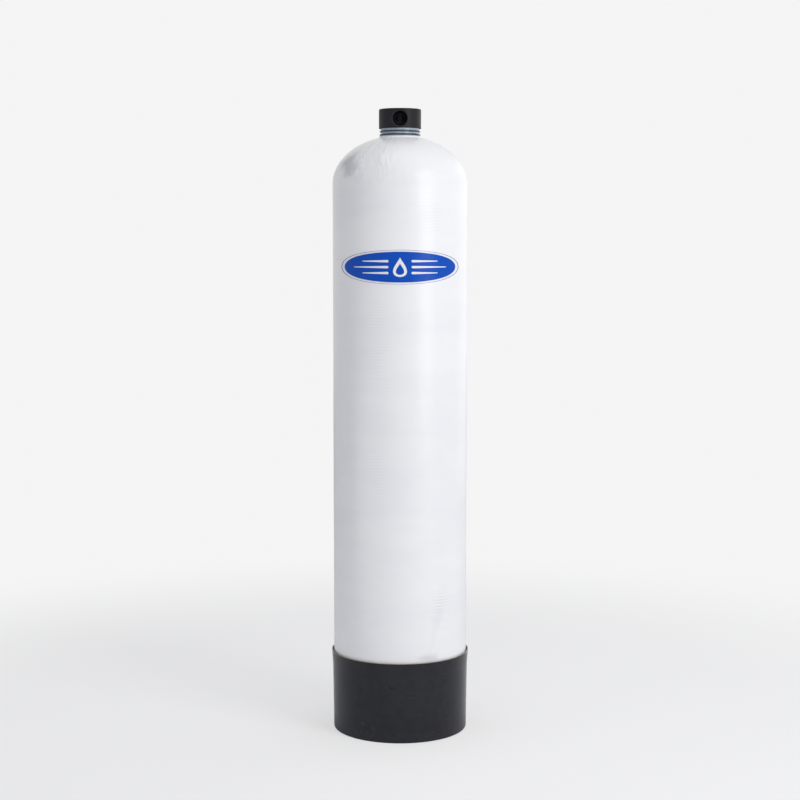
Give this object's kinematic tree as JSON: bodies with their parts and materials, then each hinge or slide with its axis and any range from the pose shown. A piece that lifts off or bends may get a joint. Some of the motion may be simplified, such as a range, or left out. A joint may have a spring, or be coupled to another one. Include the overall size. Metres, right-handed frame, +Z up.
{
  "type": "whole house water filter",
  "caption": "Tall filament-wound filter tank with domed ends, standing in a moulded boot, with a screwed side-port in/out head, riser tube, slotted distributors, gravel and carbon beds inside.",
  "frame": {"origin": "centre of the boot's underside, on the floor and on the tank's axis", "axes": "+Z up along the tank's axis, -Y out of the inlet port at the front, +Y out of the outlet port at the rear"},
  "size_m": [0.3172, 0.3172, 1.427],
  "materials": {
    "boot_black": "satin moulded",
    "winding_white": "satin paint over resin and glass fibre",
    "liner_natural": "natural",
    "fitting_blue_grey": "moulded",
    "label_vinyl": "printed vinyl",
    "head_black": "satin moulded",
    "seal_rubber": "lubricated",
    "basket_plastic": "natural",
    "riser_pvc": "extruded",
    "gravel": "washed",
    "carbon": "granular"
  },
  "bodies": {
    "tank": {"base_boot": "boot_black", "tank_winding": "winding_white", "tank_liner": "liner_natural", "neck_fitting": "fitting_blue_grey", "front_label": "label_vinyl", "riser_tube": "riser_pvc", "lower_hub": "basket_plastic", "lower_basket": "basket_plastic", "gravel_bed": "gravel", "carbon_bed": "carbon"},
    "head_carrier": {"head_o_ring": "seal_rubber"},
    "head": {"head_body": "head_black", "riser_o_ring": "seal_rubber", "riser_seal_retainer": "basket_plastic", "upper_distributor": "basket_plastic"}
  },
  "joints": [
    {"name": "head_rise", "type": "slide", "parent": "tank", "child": "head_carrier", "axis": [0, 0, 1], "range_m": [0, 0.02223]},
    {"name": "head_turn", "type": "hinge", "parent": "head_carrier", "child": "head", "pos_m": [0, 0, 1.3832], "axis": [0, 0, 1], "range_deg": [0, 2520]}
  ],
  "couplings": [
    {"joint": "head_rise", "follows": "head_turn", "m_per_rad": 0.00050532}
  ]
}
